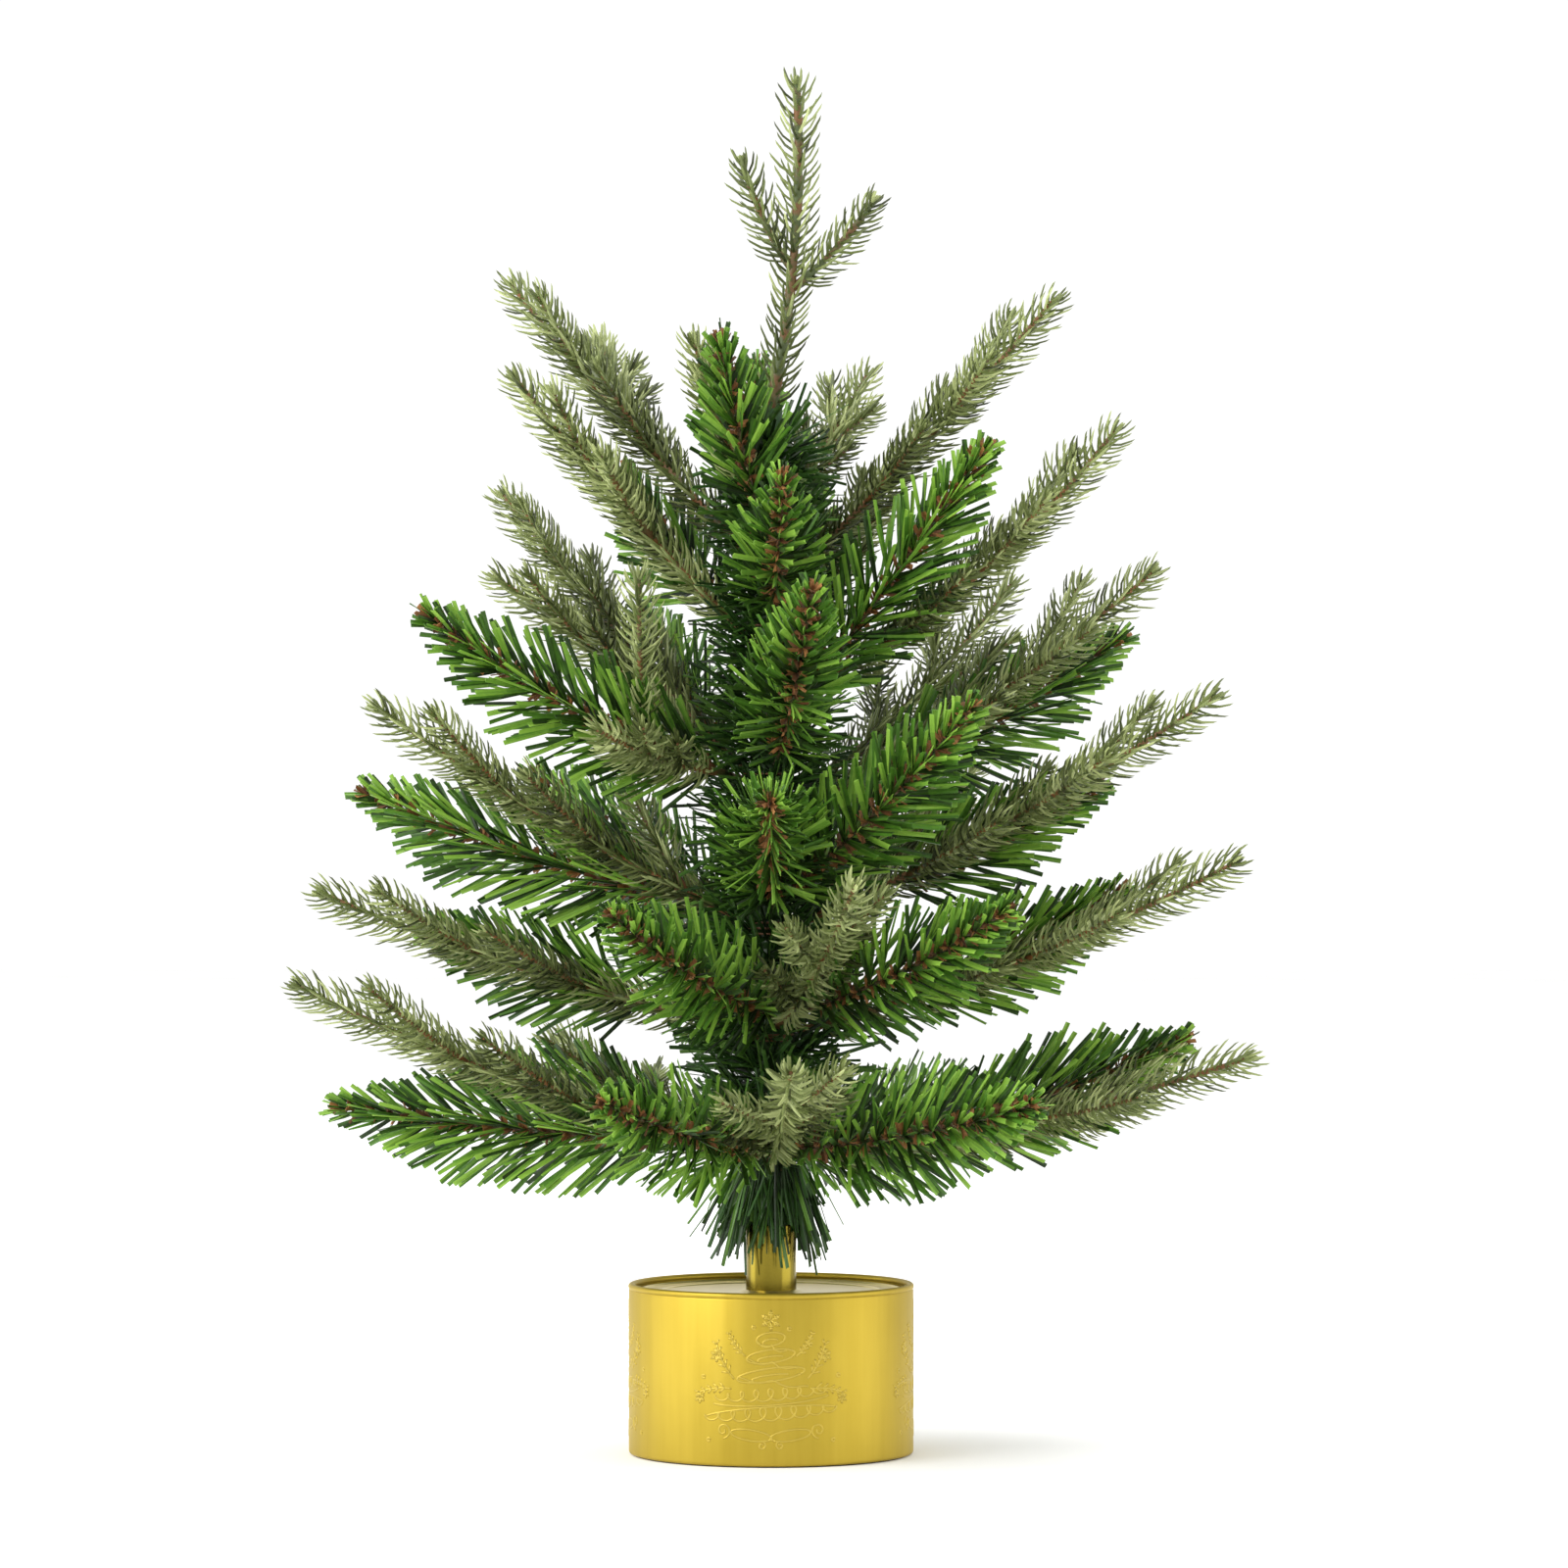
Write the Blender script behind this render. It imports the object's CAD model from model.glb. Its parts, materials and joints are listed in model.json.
"""The looks of a tabletop tree in a gold tin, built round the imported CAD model. Metres, +Z up."""

import json
import math

import bpy
import numpy as np
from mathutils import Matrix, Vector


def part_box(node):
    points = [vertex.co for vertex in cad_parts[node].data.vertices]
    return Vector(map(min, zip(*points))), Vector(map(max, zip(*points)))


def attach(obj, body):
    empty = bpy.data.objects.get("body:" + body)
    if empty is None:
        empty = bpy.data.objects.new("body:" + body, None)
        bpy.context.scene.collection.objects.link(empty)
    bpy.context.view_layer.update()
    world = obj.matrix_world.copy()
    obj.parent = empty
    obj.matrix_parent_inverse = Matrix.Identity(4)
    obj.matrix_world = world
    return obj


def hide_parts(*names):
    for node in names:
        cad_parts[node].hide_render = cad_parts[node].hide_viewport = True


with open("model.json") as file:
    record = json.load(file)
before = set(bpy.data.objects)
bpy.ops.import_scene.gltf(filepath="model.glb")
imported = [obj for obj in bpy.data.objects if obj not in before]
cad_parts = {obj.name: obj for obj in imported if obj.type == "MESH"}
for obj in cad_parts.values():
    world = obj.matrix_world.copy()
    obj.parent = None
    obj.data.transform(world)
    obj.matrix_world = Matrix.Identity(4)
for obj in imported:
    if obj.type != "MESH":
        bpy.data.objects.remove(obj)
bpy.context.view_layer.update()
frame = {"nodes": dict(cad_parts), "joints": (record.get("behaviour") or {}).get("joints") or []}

MM = 0.001
UP = np.array([0.0, 0.0, 1.0])

# --- The design's own branch table, as part.scad has it, in millimetres and degrees ------------
# A tip is (turn from the branch's azimuth, slope at its root, slope at its end, length, and how
# far along the branch's first tip it is wound on).
BRANCHES = {
    "a1": ([(-12, 3, 7, 138, 10)], [(0, 14, 27, 170, 0)]),
    "a2": ([(-30, 5, 15, 128, 14), (40, 3, 15, 130, 20)], [(0, 9, 23, 126, 0)]),
    "a3": ([(14, 14, 24, 116, 30)], [(0, 7, 19, 165, 0)]),
    "a4": ([(0, 2, 11, 142, 0)], [(-34, 0, 10, 132, 26)]),
    "a5": ([(22, 6, 16, 108, 30)], [(0, 8, 24, 130, 0)]),
    "b1": ([(-16, 14, 20, 108, 20)], [(0, 12, 23, 160, 0)]),
    "b2": ([(-46, 12, 26, 120, 8), (27, 12, 26, 118, 14)], [(0, 17, 37, 114, 0)]),
    "b3": ([(16, 20, 30, 106, 20)], [(0, 14, 28, 170, 0)]),
    "b4": ([(0, 10, 26, 138, 0)], [(-28, 14, 30, 104, 24)]),
    "c1": ([(-14, 11, 23, 140, 10)], [(0, 24, 36, 152, 0), (-44, 46, 58, 52, 22)]),
    "c2": ([(0, 30, 10, 116, 0), (42, 28, 40, 124, 6)], []),
    "c3": ([(18, 20, 30, 100, 20)], [(0, 23, 34, 170, 0)]),
    "c4": ([(0, 16, 32, 126, 0)], [(-24, 20, 38, 96, 24)]),
    "c5": ([(0, 16, 32, 128, 0)], []),
    "d1": ([(0, 16, 37, 130, 0)], [(-38, 47, 31, 110, 12), (70, 70, 88, 60, 40), (34, 4, 20, 72, 6)]),
    "d2": ([(16, 18, 33, 134, 14)], [(0, 27, 40, 158, 0)]),
    "d3": ([], [(0, 23, 41, 154, 0)]),
    "d4": ([(-34, 24, 36, 104, 14)], [(0, 40, 46, 152, 0)]),
    "d5": ([(0, 22, 44, 110, 0)], []),
    "e1": ([(-46, 34, 46, 84, 8)], [(0, 44, 52, 124, 0), (60, 38, 50, 44, 46)]),
    "e2": ([(0, 47, 52, 118, 0)], [(22, 28, 52, 146, 6)]),
    "e3": ([(0, 23, 43, 84, 0)], []),
    "e4": ([(0, 34, 48, 98, 0)], [(-38, 41, 55, 86, 10)]),
    "f1": ([], [(0, 43, 49, 138, 0), (-50, 25, 39, 72, 62)]),
    "f2": ([(0, 54, 66, 73, 0)], [(-46, 62, 74, 64, 6)]),
    "f3": ([], [(0, 43, 49, 132, 0)]),
    "f4": ([(0, 46, 60, 78, 0)], [(-40, 33, 47, 86, 6)]),
}
LEADER = [(0, 78, 93, 117, 0), (180, 56, 74, 43, 50), (0, 38, 56, 44, 43)]

# The bare wire at a branch's root, and the side twigs of a sprig: where along it the outer and the inner
# pair fork off, their share of its length, their turn and lift, and the shortest sprig that has them
BARE = 9
TWIG_AT = 0.56
INNER_AT = 0.3
TWIG_SIZE = 0.3
TWIG_YAW = 36
TWIG_LIFT = 7
LEAST_FORKED = 60

# Ribbons of a tinsel tip, in millimetres and degrees. They grow longer, and stand out more, up to some
# distance from the tip's end
RIBBON_WIDTH = 1.8
RIBBON_THICK = 0.16
RIBBONS_PER_MM = 2.6
RIBBON_LEAST = 7.5
RIBBON_GROWTH = 22.5
RIBBON_GROWN = 60
SWEEP_LEAST = 28
SWEEP_GROWTH = 20
SWEEP_GROWN = 75
WINDING = 7.0
BRIGHT_SHARE = 0.48
FLECKS_PER_MM = 1.8
TUFT = 9

# Needles and stems of a moulded sprig. A pair of radii is for the stem's root and its end
NEEDLE_LENGTH = 13.5
NEEDLE_R = 0.46
NEEDLE_ROWS = 7
NEEDLE_PITCH = 3.9
NEEDLE_LEAN = 67
BUD_NEEDLES = 7
STEM_R = (1.35, 0.75)
TWIG_R = (0.95, 0.6)
LEADER_R = (2.0, 1.45)
LEADER_TWIG_R = (1.45, 1.0)
TWIG_BARE = 4.0
LONG_SPRIG = 127

# The trunk's tinsel
TRUNK_RIBBONS = 2900
SKIRT_RIBBONS = 340
SKIRT_GAP = 1.3


# --- Mesh building -----------------------------------------------------------------------------


def mesh_piece(name, verts, faces, materials, face_values=None, face_slots=None, smooth=False):
    """A mesh object from points in millimetres and a list of quad or triangle index arrays."""
    me = bpy.data.meshes.new(name)
    verts = np.asarray(verts, float) * MM
    me.vertices.add(len(verts))
    me.vertices.foreach_set("co", verts.ravel())
    sizes = np.concatenate([np.full(len(f), f.shape[1]) for f in faces])
    loops = np.concatenate([f.ravel() for f in faces])
    me.loops.add(len(loops))
    me.loops.foreach_set("vertex_index", loops.astype(np.int32))
    me.polygons.add(len(sizes))
    starts = np.concatenate([[0], np.cumsum(sizes)[:-1]])
    me.polygons.foreach_set("loop_start", starts.astype(np.int32))
    if face_slots is not None:
        me.polygons.foreach_set("material_index", np.asarray(face_slots, np.int32))
    me.polygons.foreach_set("use_smooth", np.full(len(sizes), smooth))
    me.update(calc_edges=True)
    for key, values in (face_values or {}).items():
        attribute = me.attributes.new(key, "FLOAT", "FACE")
        attribute.data.foreach_set("value", np.asarray(values, np.float32))
    for mat in materials:
        me.materials.append(mat)
    ob = bpy.data.objects.new(name, me)
    bpy.context.scene.collection.objects.link(ob)
    return ob


class Soup:
    """Collects many small closed solids, with values for each face, into one mesh."""

    def __init__(self):
        self.verts, self.quads, self.tris = [], [], []
        self.quad_values, self.tri_values, self.count = [], [], 0

    def add(self, verts, quads=None, tris=None, quad_values=None, tri_values=None):
        if quads is not None and len(quads):
            self.quads.append(quads + self.count)
            self.quad_values.append(quad_values)
        if tris is not None and len(tris):
            self.tris.append(tris + self.count)
            self.tri_values.append(tri_values)
        self.verts.append(verts)
        self.count += len(verts)

    def piece(self, name, materials, smooth=False):
        faces, values = [], []
        for group, own in ((self.quads, self.quad_values), (self.tris, self.tri_values)):
            if group:
                faces.append(np.concatenate(group))
                values.append(np.concatenate(own))
        values = np.concatenate(values)
        return mesh_piece(
            name,
            np.concatenate(self.verts),
            faces,
            materials,
            face_values={"tone": values[:, 0]},
            face_slots=values[:, 1].astype(int),
            smooth=smooth,
        )


def unit(v):
    """Vectors scaled to a length of one."""
    return v / np.maximum(np.linalg.norm(v, axis=-1, keepdims=True), 1e-9)


def ribbons(soup, root, way, side, length, width, bend, twist, tones, slot):
    """Flat ribbons with a crease down the middle, cut square at the end. bend is a curl vector."""
    n = len(root)
    length, width = length[:, None], width[:, None]
    rows = []
    for t, wide in ((0.0, 0.62), (0.5, 1.0), (1.0, 0.96)):
        centre = root + way * length * t + bend * length * t * t
        turn = (twist * t)[:, None]
        normal = unit(np.cross(way, side))
        across = side * np.cos(turn) + normal * np.sin(turn)
        up = unit(np.cross(way, across))
        crease = up * width * 0.13
        half = across * width * wide * 0.5
        top = [centre - half, centre + crease, centre + half]
        rows += top + [p - up * RIBBON_THICK for p in top]
    verts = np.stack(rows, 1).reshape(-1, 3)
    quads, halves, shade = [], [], []
    for k, dim in ((0, -0.14), (6, 0.05)):
        quads += [
            (k, k + 6, k + 7, k + 1),
            (k + 1, k + 7, k + 8, k + 2),
            (k + 3, k + 4, k + 10, k + 9),
            (k + 4, k + 5, k + 11, k + 10),
            (k, k + 3, k + 9, k + 6),
            (k + 2, k + 8, k + 11, k + 5),
        ]
        halves += [0, 1, 0, 1, 0, 1]
        shade += [dim] * 6
    quads += [(12, 15, 16, 13), (13, 16, 17, 14), (0, 1, 4, 3), (1, 2, 5, 4)]
    halves += [0, 1, 0, 1]
    shade += [0.05, 0.05, -0.14, -0.14]
    quads = (np.arange(n)[:, None, None] * 18 + np.array(quads)[None]).reshape(-1, 4)
    tone = (tones[:, halves] + shade).reshape(-1)
    soup.add(verts, quads, None, np.stack([tone, np.full(len(tone), slot)], 1))


def needles(soup, root, way, end_way, side, length, radius, tones, slot):
    """Thin moulded needles with a four-sided section, which curve and taper to a point."""
    n = len(root)
    length, radius = length[:, None], radius[:, None]
    rows = []
    rings = ((0.0, 1.5), (0.14, 1.05), (0.5, 1.0), (0.86, 0.75))
    for t, thick in rings:
        centre = root + length * (way * t + (end_way - way) * t * t / 2)
        heading = unit(way + (end_way - way) * t)
        across = unit(side - heading * (side * heading).sum(-1, keepdims=True))
        up = np.cross(heading, across)
        flat, deep = across * radius * thick * 1.15, up * radius * thick * 0.9
        rows += [centre + flat, centre + deep, centre - flat, centre - deep]
    rows.append(root + length * (way + end_way) / 2)
    verts = np.stack(rows, 1).reshape(-1, 3)
    last = 4 * (len(rings) - 1)
    quads = [
        (k + i, k + (i + 1) % 4, k + 4 + (i + 1) % 4, k + 4 + i)
        for k in range(0, last, 4)
        for i in range(4)
    ]
    quads.append((0, 3, 2, 1))
    per_needle = len(quads)
    tris = [(last + i, last + (i + 1) % 4, last + 4) for i in range(4)]
    base = np.arange(n)[:, None, None] * (last + 5)
    quads = (base + np.array(quads)[None]).reshape(-1, 4)
    tris = (base + np.array(tris)[None]).reshape(-1, 3)
    soup.add(
        verts,
        quads,
        tris,
        np.stack([np.repeat(tones, per_needle), np.full(n * per_needle, slot)], 1),
        np.stack([np.repeat(tones, 4), np.full(n * 4, slot)], 1),
    )


def tube(soup, points, radii, sides, slot, tone=0.5):
    """A closed tube along points, with its own radius at each."""
    points, radii = np.asarray(points, float), np.asarray(radii, float)
    heading = unit(np.gradient(points, axis=0))
    start = np.array([0.31, 0.77, 0.55])
    across = unit(np.cross(heading, start))
    for i in range(1, len(points)):
        kept = across[i - 1] - heading[i] * (across[i - 1] @ heading[i])
        across[i] = kept / max(np.linalg.norm(kept), 1e-9)
    up = np.cross(heading, across)
    angle = np.arange(sides) * 2 * math.pi / sides
    ring = across[:, None] * np.cos(angle)[None, :, None] + up[:, None] * np.sin(angle)[None, :, None]
    verts = (points[:, None] + ring * radii[:, None, None]).reshape(-1, 3)
    verts = np.vstack([verts, points[0], points[-1]])
    quads = [
        (k * sides + i, k * sides + (i + 1) % sides, (k + 1) * sides + (i + 1) % sides, (k + 1) * sides + i)
        for k in range(len(points) - 1)
        for i in range(sides)
    ]
    first, last = len(points) * sides, (len(points) - 1) * sides
    tris = [((i + 1) % sides, i, first) for i in range(sides)]
    tris += [(last + i, last + (i + 1) % sides, first + 1) for i in range(sides)]
    soup.add(
        verts,
        np.array(quads),
        np.array(tris),
        np.tile([tone, slot], (len(quads), 1)),
        np.tile([tone, slot], (len(tris), 1)),
    )


def lathe(name, outline, materials, steps=192):
    """A closed ring turned from an outline of (radius, height) points in millimetres."""
    outline = np.array(outline, float)
    n = len(outline)
    angle = np.arange(steps) * 2 * math.pi / steps
    verts = np.stack(
        [
            outline[None, :, 0] * np.cos(angle)[:, None],
            outline[None, :, 0] * np.sin(angle)[:, None],
            np.repeat(outline[None, :, 1], steps, 0),
        ],
        -1,
    ).reshape(-1, 3)
    quads = [
        (k * n + i, (k + 1) % steps * n + i, (k + 1) % steps * n + (i + 1) % n, k * n + (i + 1) % n)
        for k in range(steps)
        for i in range(n)
    ]
    ob = mesh_piece(name, verts, [np.array(quads)], materials, smooth=True)
    sharpen(ob)
    return ob


def sharpen(ob, degrees=35):
    """Edges with a larger angle than this stay crisp on a smooth mesh."""
    ob.data.set_sharp_from_angle(angle=math.radians(degrees))


def arc_points(centre, radius, start, end, steps):
    """Points of an arc in the (radius, height) plane, from start to end in degrees."""
    angles = np.radians(np.linspace(start, end, steps))
    return [(centre[0] + radius * math.cos(a), centre[1] + radius * math.sin(a)) for a in angles]


# --- Where the tips run ------------------------------------------------------------------------


class Tip:
    """One tip's arc: where it starts, the vertical plane it lies in and how it bends."""

    def __init__(self, start, azimuth, row):
        self.start, self.azimuth, self.length = start, azimuth, row[3]
        self.slopes = row[1], row[2]
        a = math.radians(azimuth)
        self.out = np.array([math.cos(a), math.sin(a), 0.0])
        self.level = np.array([-math.sin(a), math.cos(a), 0.0])

    def slope(self, s):
        first, last = self.slopes
        return np.radians(first + (last - first) * np.asarray(s, float) / self.length)

    def at(self, s):
        """Points s along the arc, in millimetres."""
        s = np.asarray(s, float)
        e0, e = math.radians(self.slopes[0]), self.slope(s)
        bend = self.length / math.radians(self.slopes[1] - self.slopes[0])
        out = bend * (np.sin(e) - math.sin(e0))
        rise = bend * (math.cos(e0) - np.cos(e))
        return self.start + out[..., None] * self.out + rise[..., None] * UP

    def heading(self, s):
        """The way the wire runs at s."""
        e = self.slope(s)[..., None]
        return np.cos(e) * self.out + np.sin(e) * UP

    def normal(self, s):
        """The upper side of the wire at s."""
        e = self.slope(s)[..., None]
        return -np.sin(e) * self.out + np.cos(e) * UP

    def twig(self, side, place=TWIG_AT):
        """The side twig that forks off on this side, 1 or -1."""
        fork = self.length * (place + 0.05 * side)
        rise = math.degrees(self.slope(self.length * place)) + TWIG_LIFT * side
        row = (side * TWIG_YAW, rise, rise + 8, self.length * TWIG_SIZE, fork)
        return Tip(self.at(fork), self.azimuth + row[0], row)


def joint_of(branch):
    """The hinge at the branch's root, from the frame."""
    return next(j for j in frame["joints"] if j["name"] == "bend_" + branch)


def tips_of(branch):
    """The branch's tinsel tips and sprigs, laid out from its joint in the frame."""
    joint = joint_of(branch)
    root = np.array(joint["pos_m"], float) / MM
    azimuth = math.degrees(math.atan2(joint["axis"][0], -joint["axis"][1]))
    tinsel, sprigs = BRANCHES[branch]
    first = next(row for row in tinsel + sprigs if row[4] == 0)
    main = Tip(root, azimuth, first)

    def laid(rows):
        return [Tip(root if r[4] == 0 else main.at(r[4]), azimuth + r[0], r) for r in rows]

    return laid(tinsel), laid(sprigs)


# --- Materials ---------------------------------------------------------------------------------


class Nodes:
    """A material's node tree, with short ways to add and join nodes."""

    def __init__(self, name):
        self.mat = bpy.data.materials.new(name)
        self.mat.use_nodes = True
        self.tree = self.mat.node_tree
        self.shader = self.tree.nodes["Principled BSDF"]

    def add(self, kind, **values):
        node = self.tree.nodes.new(kind)
        for key, value in values.items():
            if key in node.inputs:
                node.inputs[key].default_value = value
            else:
                setattr(node, key, value)
        return node

    def join(self, source, target):
        self.tree.links.new(source, target)

    def set(self, **values):
        for key, value in values.items():
            self.shader.inputs[key.replace("_", " ")].default_value = value

    def place(self, stretch=(1, 1, 1)):
        """Object coordinates, stretched."""
        where = self.add("ShaderNodeTexCoord")
        mapping = self.add("ShaderNodeMapping")
        mapping.inputs["Scale"].default_value = stretch
        self.join(where.outputs["Object"], mapping.inputs["Vector"])
        return mapping.outputs["Vector"]

    def noise(self, scale, detail=3.0, rough=0.55, stretch=(1, 1, 1)):
        """Noise in object coordinates, from 0 to 1."""
        node = self.add("ShaderNodeTexNoise", Scale=scale, Detail=detail, Roughness=rough)
        self.join(self.place(stretch), node.inputs["Vector"])
        return node.outputs["Fac"]

    def ramp(self, source, stops):
        """A colour ramp with (place, colour) stops."""
        node = self.add("ShaderNodeValToRGB")
        points = node.color_ramp.elements
        while len(points) < len(stops):
            points.new(0.5)
        for point, (where, colour) in zip(points, stops, strict=True):
            point.position = where
            point.color = (*colour, 1.0)
        self.join(source, node.inputs["Fac"])
        return node.outputs["Color"]

    def mix(self, factor, a, b, how="MIX"):
        node = self.add("ShaderNodeMix", data_type="RGBA", blend_type=how)
        for value, socket in ((factor, node.inputs[0]), (a, node.inputs[6]), (b, node.inputs[7])):
            if isinstance(value, bpy.types.NodeSocket):
                self.join(value, socket)
            elif isinstance(value, tuple):
                socket.default_value = (*value, 1.0)
            else:
                socket.default_value = value
        return node.outputs[2]

    def maths(self, how, a, b):
        node = self.add("ShaderNodeMath", operation=how)
        for value, socket in ((a, node.inputs[0]), (b, node.inputs[1])):
            if isinstance(value, bpy.types.NodeSocket):
                self.join(value, socket)
            else:
                socket.default_value = value
        return node.outputs[0]

    def span(self, source, low, high):
        """0 to 1 mapped to low to high."""
        node = self.add("ShaderNodeMapRange")
        node.inputs["To Min"].default_value = low
        node.inputs["To Max"].default_value = high
        self.join(source, node.inputs["Value"])
        return node.outputs["Result"]

    def tone(self):
        """The light or dark value that each ribbon or needle carries on its faces."""
        return self.add("ShaderNodeAttribute", attribute_name="tone").outputs["Fac"]

    def colour(self, source):
        self.join(source, self.shader.inputs["Base Color"])

    def roughness(self, source, low, high):
        self.join(self.span(source, low, high), self.shader.inputs["Roughness"])

    def bump(self, source, strength, distance):
        node = self.add("ShaderNodeBump", Strength=strength, Distance=distance)
        self.join(source, node.inputs["Height"])
        self.join(node.outputs["Normal"], self.shader.inputs["Normal"])


def ribbon_film(name, dark, mid, bright):
    """Printed film cut in ribbons: two greens, slightly mottled, with a satin gloss."""
    n = Nodes(name)
    mottle = n.noise(420, 2.0)
    tone = n.maths("ADD", n.tone(), n.span(mottle, -0.16, 0.16))
    n.colour(n.ramp(tone, [(0.0, dark), (0.45, mid), (1.0, bright)]))
    n.roughness(mottle, 0.32, 0.48)
    n.set(Specular_IOR_Level=0.3)
    n.bump(n.noise(1500, 2.0), 0.12, 0.0002)
    return n.mat


def moulded_green(name, dark, mid, pale):
    """Moulded polythene needles: olive with a paler bloom on some."""
    n = Nodes(name)
    mottle = n.noise(260, 3.0)
    tone = n.maths("ADD", n.tone(), n.span(mottle, -0.2, 0.2))
    n.colour(n.ramp(tone, [(0.0, dark), (0.5, mid), (1.0, pale)]))
    n.roughness(mottle, 0.34, 0.5)
    n.set(Specular_IOR_Level=0.38)
    n.bump(n.noise(1200, 2.0), 0.1, 0.0002)
    return n.mat


def painted_stem(name, olive=0.36):
    """A sprig's stem: olive plastic with rust-brown paint dabbed along it."""
    n = Nodes(name)
    dabs = n.noise(95, 4.0, 0.6)
    rust = [(olive + 0.09, (0.16, 0.08, 0.026)), (olive + 0.28, (0.28, 0.10, 0.028))]
    paint = n.ramp(dabs, [(olive, (0.075, 0.105, 0.03)), *rust])
    n.colour(n.mix(n.span(n.noise(700, 2.0), 0.0, 0.35), paint, (0.05, 0.05, 0.02)))
    n.roughness(dabs, 0.45, 0.7)
    n.bump(n.noise(500, 3.0), 0.35, 0.0004)
    return n.mat


def brown_film():
    """The short brown papery pieces twisted in along a tinsel tip's wire."""
    n = Nodes("brown_film")
    mottle = n.noise(500, 3.0)
    tone = n.maths("ADD", n.tone(), n.span(mottle, -0.2, 0.2))
    browns = [(0.0, (0.08, 0.035, 0.014)), (0.5, (0.19, 0.075, 0.02)), (1.0, (0.34, 0.15, 0.04))]
    n.colour(n.ramp(tone, browns))
    n.roughness(mottle, 0.5, 0.72)
    n.bump(n.noise(1300, 2.0), 0.2, 0.0002)
    return n.mat


def twisted_wire():
    """The green iron wire of a tinsel tip, worn at places."""
    n = Nodes("twisted_wire")
    wear = n.noise(300, 3.0)
    stops = [(0.35, (0.035, 0.06, 0.02)), (0.55, (0.10, 0.06, 0.025)), (0.75, (0.20, 0.17, 0.10))]
    n.colour(n.ramp(wear, stops))
    n.set(Metallic=0.35)
    n.roughness(wear, 0.4, 0.6)
    n.bump(wear, 0.2, 0.0003)
    return n.mat


def gold_lacquer(name, deep, light, rough, relief=0.05):
    """Gold lacquer on sheet metal: fine vertical streaks, and a little cloudiness."""
    n = Nodes(name)
    streaks = n.noise(160, 3.0, 0.6, stretch=(1, 1, 0.06))
    clouds = n.noise(24, 3.0)
    both = n.maths("ADD", n.span(streaks, 0.0, 0.55), n.span(clouds, 0.0, 0.45))
    n.colour(n.ramp(both, [(0.25, deep), (0.75, light)]))
    n.set(Metallic=0.92)
    n.roughness(both, rough, rough + 0.12)
    n.bump(n.noise(900, 2.0), relief, 0.0002)
    return n.mat


def cast_material(name, dark, light, rough, scale=120, metal=0.0, relief=0.2):
    """A plain part's finish: mottled colour, uneven roughness and a fine grain."""
    n = Nodes(name)
    grain = n.noise(scale, 4.0)
    n.colour(n.ramp(grain, [(0.3, dark), (0.7, light)]))
    n.set(Metallic=metal)
    n.roughness(grain, rough, min(1.0, rough + 0.15))
    n.bump(n.noise(scale * 6, 3.0), relief, 0.0003)
    return n.mat


TINSEL_FILM = ribbon_film("tinsel_film", (0.010, 0.026, 0.003), (0.070, 0.188, 0.016), (0.25, 0.45, 0.055))
DARK_FILM = ribbon_film("dark_film", (0.006, 0.015, 0.002), (0.024, 0.074, 0.010), (0.085, 0.18, 0.024))
SPRIG_GREEN = moulded_green("sprig_green", (0.034, 0.044, 0.010), (0.165, 0.205, 0.06), (0.50, 0.56, 0.24))
SPRIG_STEM = painted_stem("sprig_stem")
LEADER_STEM = painted_stem("leader_stem", 0.47)
BROWN_FILM = brown_film()
WIRE = twisted_wire()
TIN_GOLD = gold_lacquer("tin_gold", (0.39, 0.28, 0.028), (0.51, 0.375, 0.05), 0.44)
LID_GOLD = gold_lacquer("lid_gold", (0.56, 0.46, 0.17), (0.70, 0.60, 0.27), 0.26)
RELIEF_GOLD = gold_lacquer("relief_gold", (0.46, 0.34, 0.05), (0.58, 0.44, 0.085), 0.42)
TUBE_GOLD = gold_lacquer("tube_gold", (0.19, 0.145, 0.014), (0.34, 0.265, 0.035), 0.13, relief=0.02)


# --- Foliage -----------------------------------------------------------------------------------


def radial(tip, s, around):
    """The direction out from the tip's axis, and the one round it, at each s and angle."""
    out = np.cos(around)[:, None] * tip.level + np.sin(around)[:, None] * tip.normal(s)
    return out, np.cross(tip.heading(s), out)


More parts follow.
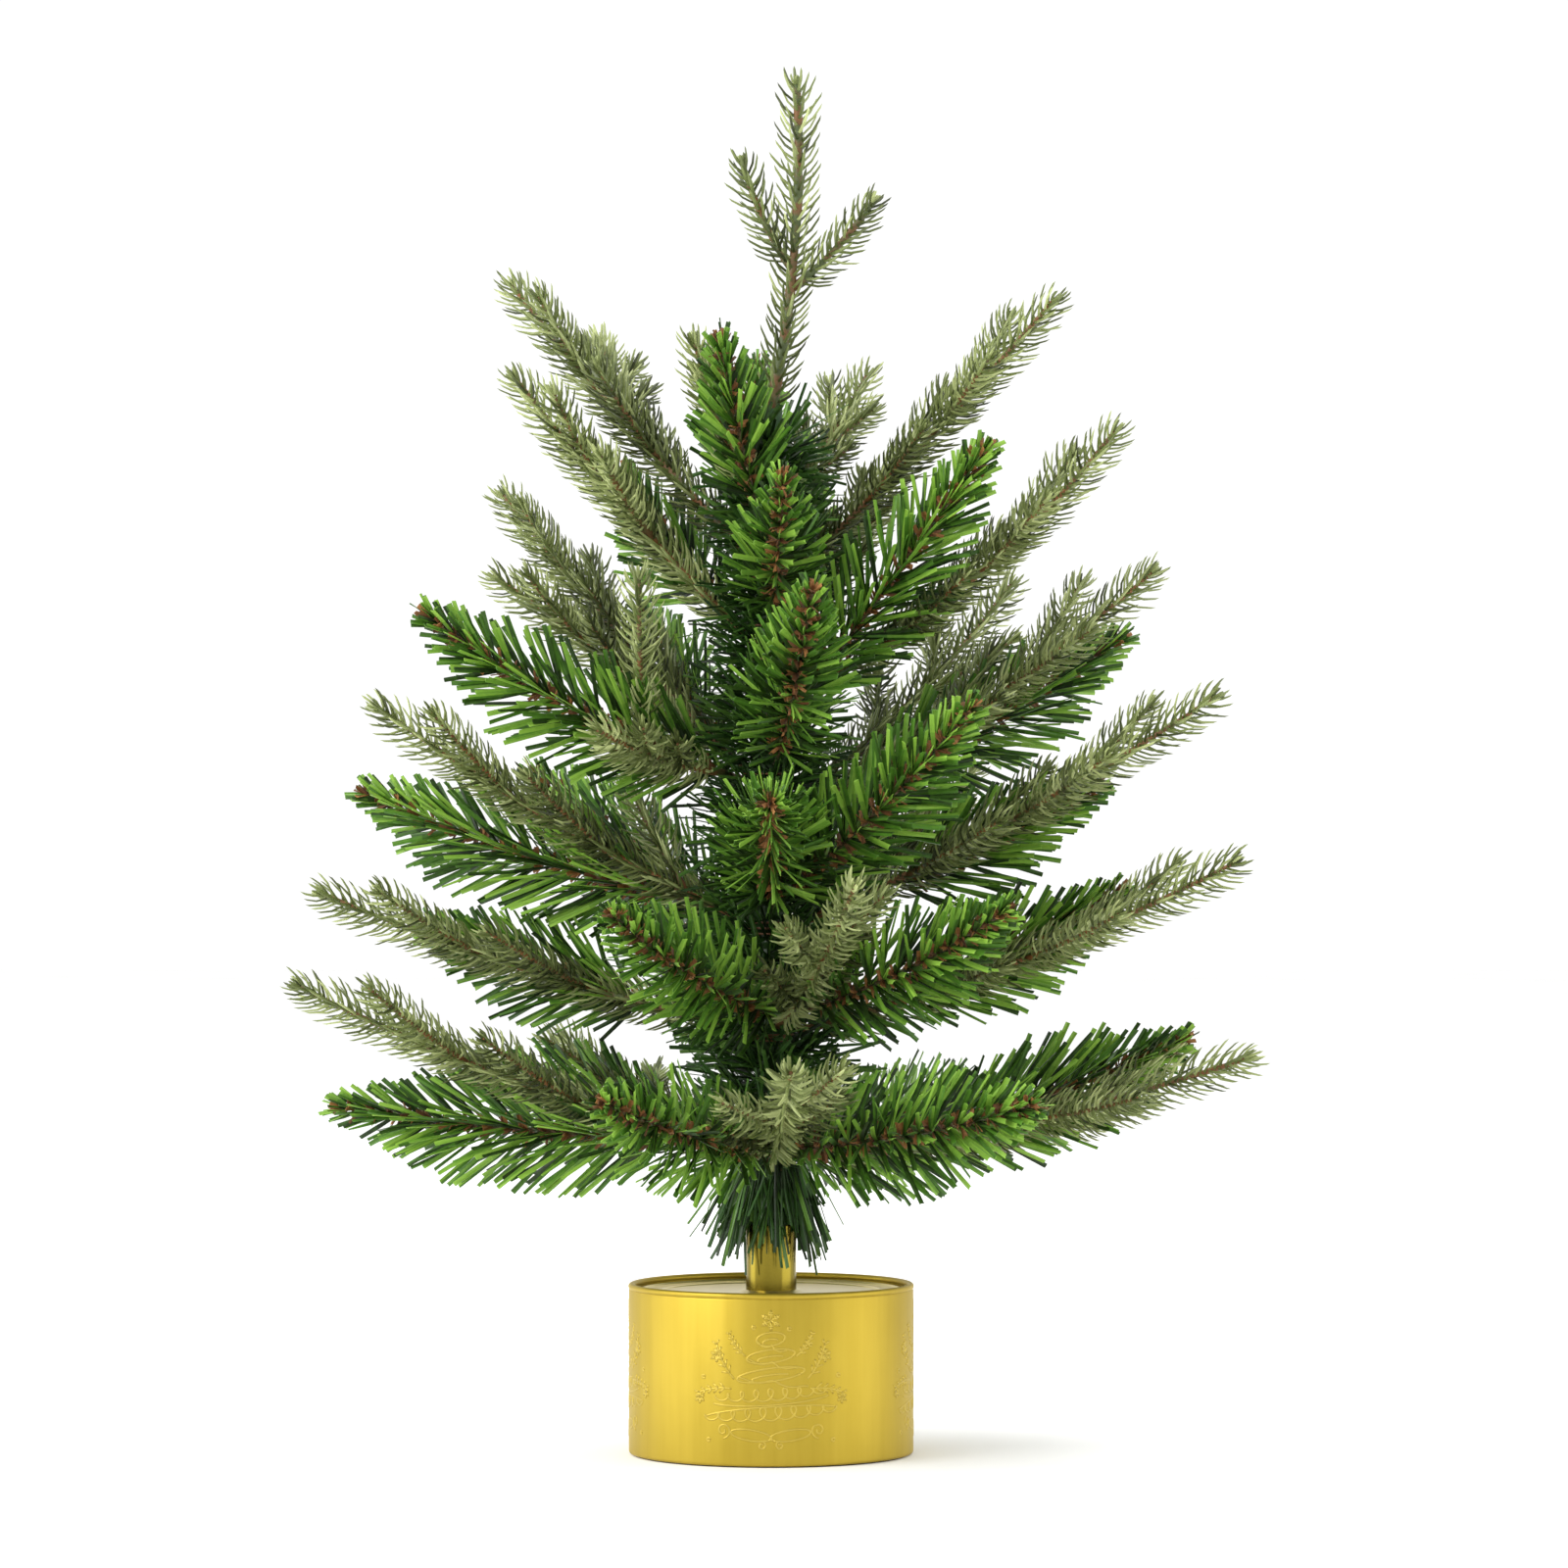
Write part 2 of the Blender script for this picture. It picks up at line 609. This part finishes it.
def tinsel_ribbons(soup, tip, rng, start):
    """Green ribbons wound in a helix round a wire, swept towards its end and trimmed to a blunt cone."""
    n = int((tip.length - start) * RIBBONS_PER_MM)
    s = np.linspace(start, tip.length - 1.0, n) + rng.normal(0, 0.3, n)
    s = np.clip(s, start, tip.length - 0.5)
    to_end = tip.length - s
    around = s * 2 * math.pi / WINDING + rng.normal(0, 0.3, n)
    out, _ = radial(tip, s, around)
    sweep = SWEEP_LEAST + SWEEP_GROWTH * np.minimum(1, to_end / SWEEP_GROWN)
    sweep = np.radians(sweep + rng.normal(0, 3.5, n))
    way = unit(np.cos(sweep)[:, None] * tip.heading(s) + np.sin(sweep)[:, None] * out)
    flat = unit(np.cross(np.cross(way, tip.heading(s)), way))
    roll = rng.normal(0, 0.42, n)[:, None]
    side = unit(flat * np.cos(roll) + np.cross(way, flat) * np.sin(roll))
    length = RIBBON_LEAST + RIBBON_GROWTH * np.minimum(1, to_end / RIBBON_GROWN)
    length *= rng.uniform(0.9, 1.04, n)
    length *= np.clip(0.7 + (s - start) / 40.0, 0.7, 1.0)
    bend = tip.heading(s) * rng.normal(0.05, 0.04, n)[:, None] + rng.normal(0, 0.03, (n, 3))
    bright = rng.random(n) < BRIGHT_SHARE
    one = np.where(bright, rng.uniform(0.6, 1.0, n), rng.uniform(0.0, 0.42, n)) - 0.2 * np.exp(-s / 40)
    other = np.clip(one + rng.normal(0, 0.18, n), 0, 1)
    width = RIBBON_WIDTH * rng.uniform(0.8, 1.08, n)
    ribbons(soup, tip.at(s) + out * 0.6, way, side, length, width, bend, rng.normal(0, 0.3, n),
            np.stack([one, other], 1), 0)


def brown_flecks(soup, tip, rng, start, slot):
    """Short brown pieces wound in along the wire, with a tuft of them at its very end."""
    n = int((tip.length - start) * FLECKS_PER_MM)
    s = np.concatenate([np.linspace(start, tip.length - 2, n), np.full(TUFT, tip.length - 1.2)])
    n = len(s)
    around = s * 2 * math.pi / WINDING + math.pi / 2 + rng.normal(0, 0.45, n)
    around[-TUFT:] = np.arange(TUFT) * 0.7
    out, _ = radial(tip, s, around)
    sweep = np.radians(rng.uniform(42, 78, n))
    sweep[-TUFT:] = np.radians(rng.uniform(8, 40, TUFT))
    way = unit(np.cos(sweep)[:, None] * tip.heading(s) + np.sin(sweep)[:, None] * out)
    side = unit(np.cross(way, out) + rng.normal(0, 0.5, (n, 3)))
    side = unit(side - way * (side * way).sum(-1, keepdims=True))
    tone = rng.uniform(0.1, 1.0, n)
    ribbons(soup, tip.at(s) + out * 0.5, way, side, rng.uniform(3.2, 5.8, n), rng.uniform(1.0, 1.9, n),
            rng.normal(0, 0.1, (n, 3)), rng.normal(0, 0.6, n), np.stack([tone, tone], 1), slot)


def twisted_strands(soup, tip, start, slot):
    """The two strands of wire, twisted round each other."""
    s = np.arange(start, tip.length, 1.15)
    turn = s * 2 * math.pi / 6.5
    for phase in (0.0, math.pi):
        out, _ = radial(tip, s, turn + phase)
        tube(soup, tip.at(s) + out * 0.42, np.full(len(s), 0.45), 5, slot)


def sprig_needles(soup, tip, rng, start, size=1.0, pitch=NEEDLE_PITCH, dense=0.68, shade=0.3, thick=1.0):
    """Rows of curved needles round a moulded stem, closest together near its root, and a small bud."""
    s, around = [], []
    grow = pitch * (1 - dense) / tip.length
    for row in range(NEEDLE_ROWS):
        steps = np.arange(0, tip.length / pitch / dense) + row * 0.43 % 1.0
        own = start + pitch * dense * np.expm1(steps * grow) / grow
        own = own[own < tip.length - 1]
        s.append(own + rng.normal(0, 0.2, len(own)))
        around.append(np.full(len(own), row * 2 * math.pi / NEEDLE_ROWS) + rng.normal(0, 0.12, len(own)))
    s.append(np.full(BUD_NEEDLES, tip.length - 0.8))
    around.append(np.arange(BUD_NEEDLES) * 2 * math.pi / BUD_NEEDLES)
    s, around = np.clip(np.concatenate(s), 0, tip.length - 0.5), np.concatenate(around)
    n = len(s)
    to_end = tip.length - s
    out, round_way = radial(tip, s, around)
    ahead = tip.heading(s)
    lean = np.radians(NEEDLE_LEAN - 30 * np.exp(-to_end / 5.0) + rng.normal(0, 3, n))[:, None]
    finish = lean - np.radians(rng.uniform(38, 52, n))[:, None]
    way = unit(np.cos(lean) * ahead + np.sin(lean) * out + round_way * rng.normal(0, 0.06, n)[:, None])
    sway = round_way * rng.normal(0, 0.1, n)[:, None]
    end_way = unit(np.cos(finish) * ahead + np.sin(finish) * out + sway)
    length = size * NEEDLE_LENGTH * (0.6 + 0.4 * (1 - np.exp(-to_end / 6.0)))
    length *= rng.uniform(0.84, 1.06, n)
    length[-BUD_NEEDLES:] *= 0.55
    tone = np.clip(rng.normal(0.54, 0.25, n) - shade * np.exp(-s / 50), 0, 1)
    needles(soup, tip.at(s) + out * 0.5, way, end_way, round_way, length,
            NEEDLE_R * thick * rng.uniform(0.85, 1.1, n), tone, 0)


def sprig_stem(soup, tip, radii, slot):
    """A moulded stem that tapers and is a little uneven."""
    s = np.linspace(0, tip.length, max(8, int(tip.length / 4)))
    wobble = 1 + 0.09 * np.sin(s * 1.7) + 0.06 * np.sin(s * 3.1)
    tube(soup, tip.at(s), np.linspace(*radii, len(s)) * wobble, 8, slot)


def foliage_start(row):
    """Where a tip's foliage starts: past the bare root, or past the tip that it is wound on."""
    turn, fork = row[0], row[4]
    if fork == 0:
        return BARE
    return max(BARE - fork, 6.0 / max(0.35, abs(math.sin(math.radians(turn)))))


def dress_branch(branch, seed):
    """A branch's ribbons and wires, and its needles and stems, in place of its two CAD nodes."""
    body = "branch_" + branch
    tinsel, sprigs = tips_of(branch)
    rows_tinsel, rows_sprig = BRANCHES[branch]
    rng = np.random.default_rng(seed)
    if tinsel:
        green, core = Soup(), Soup()
        for tip, row in zip(tinsel, rows_tinsel, strict=True):
            start = foliage_start(row)
            tinsel_ribbons(green, tip, rng, start)
            twisted_strands(core, tip, 0.0, 0)
            brown_flecks(core, tip, rng, start + 4, 1)
        film = green.piece(body + "_tinsel_ribbons", [TINSEL_FILM])
        finish_piece(film, body, "tinsel", body + "_tinsel")
        wires = core.piece(body + "_tinsel_wire", [WIRE, BROWN_FILM])
        finish_piece(wires, body, "tinsel", body + "_tinsel")
    if sprigs:
        green, core = Soup(), Soup()
        for tip, row in zip(sprigs, rows_sprig, strict=True):
            shade = 0.45 if tip.length > LONG_SPRIG else -0.3
            sprig_needles(green, tip, rng, foliage_start(row), shade=shade)
            sprig_stem(core, tip, STEM_R, 0)
            if tip.length > LEAST_FORKED:
                for side, place in ((-1, TWIG_AT), (1, TWIG_AT), (-1, INNER_AT), (1, INNER_AT)):
                    twig = tip.twig(side, place)
                    shade = 0.4 if place == INNER_AT else 0.0
                    sprig_needles(green, twig, rng, TWIG_BARE, size=0.9, shade=shade)
                    sprig_stem(core, twig, TWIG_R, 0)
        moulded = green.piece(body + "_sprig_needles", [SPRIG_GREEN])
        finish_piece(moulded, body, "sprig", body + "_sprig")
        stems = core.piece(body + "_sprig_stem", [SPRIG_STEM], smooth=True)
        finish_piece(stems, body, "sprig", body + "_sprig")


def finish_piece(ob, body, slot, *nodes):
    """Puts a piece on its body and in its slot, and names the CAD nodes that it stands in for."""
    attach(ob, body)
    if nodes:
        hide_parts(*nodes)
    return ob


def dress_leader():
    """The moulded sprig on a thicker stem that makes the top."""
    start = np.array([0.0, 0.0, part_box("trunk_rod")[1].z / MM])
    main = Tip(start, 0, LEADER[0])
    rng = np.random.default_rng(901)
    green, core = Soup(), Soup()
    sprig_needles(green, main, rng, 1.0, size=1.0, pitch=5.2, dense=0.92, shade=0.34, thick=1.15)
    sprig_stem(core, main, LEADER_R, 0)
    for row in LEADER[1:]:
        twig = Tip(main.at(row[4]), row[0], row)
        sprig_needles(green, twig, rng, TWIG_BARE, size=0.92, pitch=4.6, dense=0.9, shade=0.32, thick=1.12)
        sprig_stem(core, twig, LEADER_TWIG_R, 0)
    moulded = green.piece("leader_sprig_needles", [SPRIG_GREEN])
    finish_piece(moulded, "trunk", "sprig", "leader_sprig")
    stems = core.piece("leader_sprig_stem", [LEADER_STEM], smooth=True)
    finish_piece(stems, "trunk", "sprig", "leader_sprig")


def dress_trunk():
    """Dark tinsel wound up the trunk, and a skirt of it that droops over the tube."""
    low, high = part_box("trunk_tinsel")
    foot, top, radius = low.z / MM, high.z / MM, high.x / MM
    pole = Tip(np.array([0.0, 0.0, foot]), 0, (0, 89.9, 90.1, top - foot, 0))
    rng = np.random.default_rng(77)
    core = Soup()
    s = np.linspace(0, top - foot, 260)
    wound = radius * (0.86 + 0.10 * np.sin(s * 1.25) + 0.04 * np.sin(s * 3.3))
    tube(core, pole.at(s), wound, 20, 0, 0.2)
    inside = core.piece("trunk_tinsel_core", [DARK_FILM], smooth=True)
    finish_piece(inside, "trunk", "trunk_tinsel", "trunk_tinsel")

    green = Soup()
    n = TRUNK_RIBBONS
    s = rng.uniform(16, top - foot - 2, n)
    out, round_way = radial(pole, s, rng.uniform(0, 2 * math.pi, n))
    lift = np.radians(rng.uniform(-20, 62, n))[:, None]
    way = unit(np.cos(lift) * out + np.sin(lift) * UP + round_way * rng.normal(0, 0.35, n)[:, None])
    side = unit(np.cross(way, rng.normal(0, 1, (n, 3))))
    tone = rng.uniform(0, 0.85, n)
    length = rng.uniform(17, 34, n) * np.clip(1.15 - s / (top - foot) * 0.45, 0.65, 1.05)
    ribbons(green, pole.at(s) + out * radius * 0.7, way, side, length, rng.uniform(0.9, 1.5, n),
            rng.normal(0, 0.07, (n, 3)), rng.normal(0, 0.4, n), np.stack([tone, tone], 1), 0)
    finish_piece(green.piece("trunk_tinsel_ribbons", [DARK_FILM]), "trunk", "trunk_tinsel")

    skirt = Soup()
    n = SKIRT_RIBBONS
    s = rng.uniform(-1, 26, n)
    out, round_way = radial(pole, s, rng.uniform(0, 2 * math.pi, n))
    drop = np.radians(rng.uniform(57, 89, n))[:, None]
    way = unit(np.cos(drop) * out - np.sin(drop) * UP + round_way * rng.normal(0, 0.22, n)[:, None])
    side = unit(np.cross(way, rng.normal(0, 1, (n, 3))))
    tone = np.clip(rng.normal(0.4, 0.25, n), 0, 1)
    hang = np.where(rng.random(n) < 0.16, rng.uniform(11, 18, n), rng.uniform(-6, 11, n))
    length = np.clip((s + hang) / np.sin(drop[:, 0]), 8, 34)
    bend = -UP * rng.uniform(0.0, 0.12, n)[:, None] + rng.normal(0, 0.06, (n, 3))
    bend += out * np.maximum(0, -(bend * out).sum(-1, keepdims=True))
    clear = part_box("socket_tube")[1].x / MM + SKIRT_GAP
    ribbons(skirt, pole.at(s) + out * clear, way, side, length, rng.uniform(1.0, 1.6, n), bend,
            rng.normal(0, 0.5, n), np.stack([tone, tone], 1), 0)
    finish_piece(skirt.piece("trunk_skirt_ribbons", [DARK_FILM]), "trunk", "trunk_tinsel")


# --- The tin, its lid and the tube -------------------------------------------------------------

SHEET = 0.8
RIM_R = 1.2
RIM_PROUD = 0.2
FOOT_GAP = 0.4


def tin_shell():
    """A drawn can with a rounded edge at its foot and its rim rolled inwards."""
    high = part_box("tin_body")[1]
    outer = high.x / MM - RIM_PROUD
    inner = outer - SHEET
    foot, top = FOOT_GAP, high.z / MM
    roll = (high.x / MM - RIM_R, top - RIM_R)
    outline = [(inner, foot + 0.9), (inner, roll[1] - 0.6)]
    outline += arc_points(roll, RIM_R, 215, -50, 30)
    outline += [(outer, roll[1] - 1.4), (outer, foot + 1.6)]
    outline += arc_points((outer - 1.0, foot + 1.0), 1.0, -6, -90, 12)
    outline += [(inner - 0.6, foot), (inner - 0.6, foot + 0.5)]
    ob = lathe("tin_shell", outline, [TIN_GOLD], 256)
    return finish_piece(ob, "base", "tin_gold", "tin_body")


def tin_top():
    """The lid, with a step pressed round it, a bead and a lip round the tube's hole."""
    low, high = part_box("tin_lid")
    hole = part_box("socket_tube")[1].x / MM
    edge = high.x / MM
    face = low.z / MM + SHEET
    wall = edge - 2 * RIM_R
    outline = [(hole + 0.05, face - SHEET), (edge - 0.05, face - SHEET), (edge - 0.05, face)]
    outline += [(wall, face + 0.1), (wall - 0.3, face + 0.9), (wall - 1.1, face + 1.0)]
    outline += [(wall - 1.5, face + 0.4), (wall - 2.6, face + 0.05)]
    outline += arc_points((wall - 8, face - 0.25), 0.75, 20, 160, 9)
    outline += [(hole + 3.4, face), (hole + 2.2, face + 0.25), (hole + 1.2, face + 0.8)]
    outline += [(hole + 0.4, face + 0.85), (hole + 0.05, face + 0.6)]
    ob = lathe("tin_top", outline, [LID_GOLD], 224)
    return finish_piece(ob, "base", "lid_gold", "tin_lid")


def tin_tube():
    """The gold tube, with a softened lip."""
    low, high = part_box("socket_tube")
    outer, wall = high.x / MM, 1.0
    foot, top = low.z / MM, high.z / MM
    lip = (outer - wall / 2, top - wall / 2)
    outline = [(outer - wall, foot), (outer, foot)]
    outline += arc_points(lip, wall / 2, 0, 180, 12)
    ob = lathe("socket_tube_gold", outline, [TUBE_GOLD], 128)
    return finish_piece(ob, "base", "tube_gold", "socket_tube")


# --- Embossed ornament: drawn as strokes in a flat (across, up) plane, then wrapped on the tin -


def spiral(centre, r0, r1, a0, a1, steps=26):
    """A stroke that winds from radius r0 to r1 while it turns from a0 to a1 degrees."""
    t = np.linspace(0, 1, steps)
    r, a = r0 + (r1 - r0) * t, np.radians(a0 + (a1 - a0) * t)
    return np.stack([centre[0] + r * np.cos(a), centre[1] + r * np.sin(a)], 1)


def line(a, b):
    """A straight stroke."""
    return np.array([a, b], float)


def snowflake(centre, size):
    """Six arms, each with two pairs of barbs."""
    strokes = []
    for k in range(6):
        a = math.radians(60 * k + 30)
        arm = np.array([math.cos(a), math.sin(a)])
        strokes.append(line(centre, centre + arm * size))
        for along, barb in ((0.45, 0.3), (0.7, 0.22)):
            for lean in (-50, 50):
                b = a + math.radians(lean)
                fork = centre + arm * size * along
                strokes.append(line(fork, fork + np.array([math.cos(b), math.sin(b)]) * size * barb))
    return strokes


def spray(root, angle, size, side):
    """A curved twig with pairs of short leaves."""
    t = np.linspace(0, 1, 16)
    a = math.radians(angle)
    along = np.array([math.cos(a), math.sin(a)])
    across = np.array([-along[1], along[0]]) * side
    stem = root + np.outer(t * size, along) + np.outer(t * t * size * 0.28, across)
    strokes = [stem]
    for i in range(3, 16, 3):
        for lean in (-42, 42):
            heading = stem[i] - stem[i - 1]
            b = math.atan2(heading[1], heading[0]) + math.radians(lean)
            leaf = size * (0.24 - 0.10 * i / 16)
            strokes.append(line(stem[i], stem[i] + np.array([math.cos(b), math.sin(b)]) * leaf))
    return strokes


def loop(centre, wide, tall, tilt, a0=0, a1=360, steps=40):
    """A stroke along an ellipse that is tilted by some degrees."""
    a, b = np.radians(np.linspace(a0, a1, steps)), math.radians(tilt)
    x, y = wide * np.cos(a), tall * np.sin(a)
    return np.stack(
        [centre[0] + x * math.cos(b) - y * math.sin(b), centre[1] + x * math.sin(b) + y * math.cos(b)], 1
    )


def curls(a, b, size, turns, steps=160):
    """A stroke that rolls from a to b in even loops, smaller at both ends."""
    t = np.linspace(0, 1, steps)
    a, b = np.array(a, float), np.array(b, float)
    across = unit(np.array([a[1] - b[1], b[0] - a[0]]))
    turn = t * 2 * math.pi * turns
    grow = size * (0.35 + 0.65 * np.sin(math.pi * t))
    middle = a + np.outer(t, b - a) + np.outer(grow * np.cos(turn), across)
    return middle - np.outer(grow * 0.95 * np.sin(turn), unit(b - a))


def ornament():
    """One panel of the tin's relief: a wound ribbon under a snowflake, with sprays, scrolls and stars."""
    strokes = snowflake(np.array([0.0, 22.0]), 3.6)
    for k, (y, wide) in enumerate(((15.5, 5.0), (9.5, 8.5), (3.0, 12.0))):
        strokes.append(loop((0, y), wide, 2.3, 8, -30, 330))
        strokes.append(loop((0, y - 1.0), wide * 0.55, 1.0, 8, 20, 200))
        strokes.append(curls((-wide, y - 1.2), (wide * 1.1, y - 4.4), 0.8, 2, 60))
    strokes.append(curls((-20, -5.4), (20, -2.6), 2.1, 8, 260))
    strokes.append(curls((-24, -12.2), (24, -9.0), 2.4, 9, 300))
    strokes.append(loop((0, -5.0), 22, 2.6, 4, 200, 340))
    strokes.append(loop((0, -11.2), 25, 3.0, 4, 20, 160))
    for side in (-1, 1):
        strokes += spray(np.array([side * 13.0, 1.5]), 90 - side * 44, 13, side)
        strokes += spray(np.array([side * 14.0, -2.0]), 90 - side * 82, 12, -side)
        strokes += spray(np.array([side * 9.0, 9.5]), 90 - side * 52, 9, side)
        turn = -150 if side > 0 else -30
        strokes.append(loop((side * 7.0, -18.2), 7.2, 1.9, side * 8, turn, turn + 360))
        strokes.append(spiral(np.array([side * 17.0, -16.6]), 2.8, 0.5, -90, -90 - side * 480, 46))
        strokes.append(spiral(np.array([side * 3.2, -21.8]), 1.5, 0.4, 90, 90 + side * 420, 30))
        strokes += snowflake(np.array([side * 19.5, 9.5]), 2.4)
        strokes += snowflake(np.array([side * 26.0, -5.5]), 2.0)
    upper = ((-6, 19.5), (6.5, 19), (-13, 14), (14, 13.5))
    lower = ((-24.5, 2), (24.5, 2.5), (-22.5, -20), (22.5, -20))
    for x, y in upper + lower:
        strokes.append(spiral(np.array([x, y], float), 0.6, 0.6, 0, 330, 10))
    return strokes


PANELS = 4
STROKE_W = 0.75
STROKE_H = 0.13
RELIEF_DROP = 1.5


def relief():
    """The ornament as low half-round beads on the tin's wall, once every quarter turn."""
    low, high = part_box("tin_body")
    wall = high.x / MM - RIM_PROUD
    middle = (low.z + high.z) / 2 / MM - RELIEF_DROP
    profile = [(-0.5, -0.25), (-0.32, 0.75), (0.0, 1.0), (0.32, 0.75), (0.5, -0.25)]
    soup = Soup()
    for panel in range(PANELS):
        facing = math.radians(-90 + panel * 360 / PANELS)
        for stroke in ornament():
            heading = unit(np.gradient(stroke, axis=0))
            across = np.stack([-heading[:, 1], heading[:, 0]], 1)
            rows = []
            for sideways, lift in profile:
                flat = stroke + across * sideways * STROKE_W
                angle = facing + flat[:, 0] / wall
                r = wall + lift * STROKE_H
                rows.append(np.stack([r * np.cos(angle), r * np.sin(angle), middle + flat[:, 1]], 1))
            verts = np.stack(rows, 1).reshape(-1, 3)
            n, sides = len(stroke), len(profile)
            quads = [
                (k + i, k + sides + i, k + sides + (i + 1) % sides, k + (i + 1) % sides)
                for k in range(0, (n - 1) * sides, sides)
                for i in range(sides)
            ]
            end = (n - 1) * sides
            tris = [(0, i, i + 1) for i in range(1, sides - 1)]
            tris += [(end, end + i + 1, end + i) for i in range(1, sides - 1)]
            soup.add(verts, np.array(quads), np.array(tris), np.tile([0.5, 0], (len(quads), 1)),
                     np.tile([0.5, 0], (len(tris), 1)))
    return finish_piece(soup.piece("tin_relief", [RELIEF_GOLD], smooth=True), "base", "tin_gold")


def paint_plain_nodes():
    """Better finishes for the CAD parts that keep their own shape."""
    finishes = {
        "tin_bottom": gold_lacquer("bottom_gold", (0.45, 0.33, 0.05), (0.6, 0.46, 0.1), 0.35),
        "ballast": cast_material("ballast_cast", (0.55, 0.53, 0.50), (0.72, 0.70, 0.66), 0.8, 60),
        "foot_pad": cast_material("foot_foam", (0.02, 0.02, 0.02), (0.05, 0.05, 0.05), 0.85, 300),
        "socket_collar": cast_material("zinc_collar", (0.45, 0.46, 0.47), (0.62, 0.62, 0.62), 0.3, 80, 1.0),
        "trunk_rod": cast_material("drawn_rod", (0.42, 0.42, 0.42), (0.58, 0.58, 0.58), 0.28, 90, 1.0),
        "trunk_plug": cast_material("plug_green", (0.012, 0.035, 0.012), (0.03, 0.07, 0.025), 0.5, 200),
        "trunk_tape": cast_material("crepe_tape", (0.015, 0.05, 0.015), (0.04, 0.10, 0.03), 0.6, 260),
        "branch_bindings": cast_material(
            "binding_brown", (0.08, 0.035, 0.015), (0.17, 0.08, 0.03), 0.45, 300, 0.3
        ),
    }
    for node, mat in finishes.items():
        ob = frame["nodes"][node]
        for k in range(max(1, len(ob.material_slots))):
            if k < len(ob.material_slots):
                ob.material_slots[k].material = mat
            else:
                ob.data.materials.append(mat)


# --- Camera, floor and light -------------------------------------------------------------------


CAMERA_AT = (0.0046, -2.3, 0.239)
PICTURE_WIDE = 0.56


def camera():
    """Level, a little over two metres in front, with the tree filling the height."""
    data = bpy.data.cameras.new("camera")
    data.sensor_width = 36.0
    data.lens = data.sensor_width * -CAMERA_AT[1] / PICTURE_WIDE
    data.clip_end = 20.0
    ob = bpy.data.objects.new("camera", data)
    ob.location = CAMERA_AT
    ob.rotation_euler = (math.pi / 2, 0, 0)
    bpy.context.scene.collection.objects.link(ob)
    bpy.context.scene.camera = ob


def area_light(name, place, size, power, aim=(0, 0, 0.22)):
    """A white soft box that faces a point of the tree."""
    data = bpy.data.lights.new(name, "AREA")
    data.shape = "RECTANGLE"
    data.size, data.size_y = size
    data.energy = power
    ob = bpy.data.objects.new(name, data)
    ob.location = place
    heading = np.array(aim) - np.array(place)
    ob.rotation_euler = (
        math.atan2(math.hypot(heading[0], heading[1]), -heading[2]),
        0,
        math.atan2(heading[1], heading[0]) - math.pi / 2,
    )
    bpy.context.scene.collection.objects.link(ob)


def paper_floor():
    """A plain sheet of white paper, wide enough to have no edge in the picture."""
    n = Nodes("paper_floor")
    n.colour(n.ramp(n.noise(6, 2.0), [(0.3, (0.93, 0.93, 0.925)), (0.7, (0.96, 0.96, 0.955))]))
    n.set(Roughness=0.9)
    side = 6.0
    verts = np.array([(-side, -side, 0), (side, -side, 0), (side, side, 0), (-side, side, 0)]) / MM
    floor = mesh_piece("floor", verts, [np.array([(0, 1, 2, 3)])], [n.mat])


def studio():
    """An even white surround with a key from the upper left, a top light and two side cards."""
    world = bpy.data.worlds.new("studio")
    world.use_nodes = True
    sky = world.node_tree.nodes["Background"]
    sky.inputs["Color"].default_value = (1.0, 1.0, 1.0, 1.0)
    sky.inputs["Strength"].default_value = 1.05
    bpy.context.scene.world = world
    area_light("key", (-1.7, -1.2, 1.5), (1.3, 1.4), 42)
    area_light("top", (0.1, 0.5, 2.1), (1.4, 1.0), 18)
    area_light("left_card", (-1.6, 0.1, 0.35), (0.9, 1.4), 8, aim=(0, 0, 0.15))
    area_light("right_card", (1.6, -0.4, 0.35), (1.5, 1.4), 10, aim=(0, 0, 0.15))
    bpy.context.scene.view_settings.view_transform = "Standard"


camera()
paper_floor()
studio()
for number, branch in enumerate(BRANCHES):
    dress_branch(branch, 1000 + number)
dress_leader()
dress_trunk()
tin_shell()
tin_top()
tin_tube()
relief()
paint_plain_nodes()
